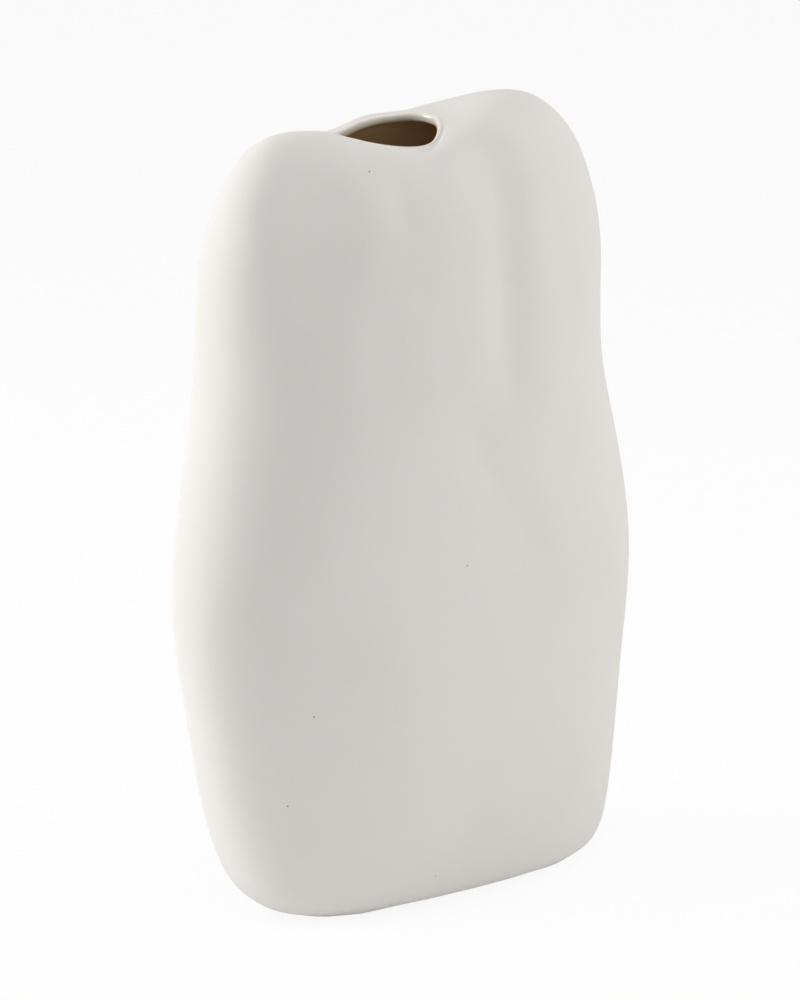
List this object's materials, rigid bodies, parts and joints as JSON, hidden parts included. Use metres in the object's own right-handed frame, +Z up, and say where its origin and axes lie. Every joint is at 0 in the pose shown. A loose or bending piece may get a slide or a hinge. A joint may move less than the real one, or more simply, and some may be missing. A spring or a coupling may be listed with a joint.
{
  "type": "pillow vase",
  "caption": "Tall flat pillow-shaped ceramic vase with uneven soft shoulders, an off-centre leaf-shaped mouth, a glazed inside and stick-on foot pads.",
  "frame": {"origin": "on the table, under the middle of the vase's bounding box", "axes": "+Z up, +X towards the taller shoulder, +Y away from the face that is seen first"},
  "size_m": [0.2371, 0.1072, 0.3804],
  "materials": {
    "bisque_clay": "fired white clay, unglazed, matte and very fine grained",
    "cream_glaze": "clear gloss glaze, cream on the lip and tan inside",
    "felt": "pressed felt with an adhesive back"
  },
  "bodies": {
    "root": {"vase_body": "bisque_clay", "glaze_lining": "cream_glaze", "pad_front_left": "felt", "pad_front_right": "felt", "pad_back_left": "felt", "pad_back_right": "felt"}
  },
  "joints": []
}
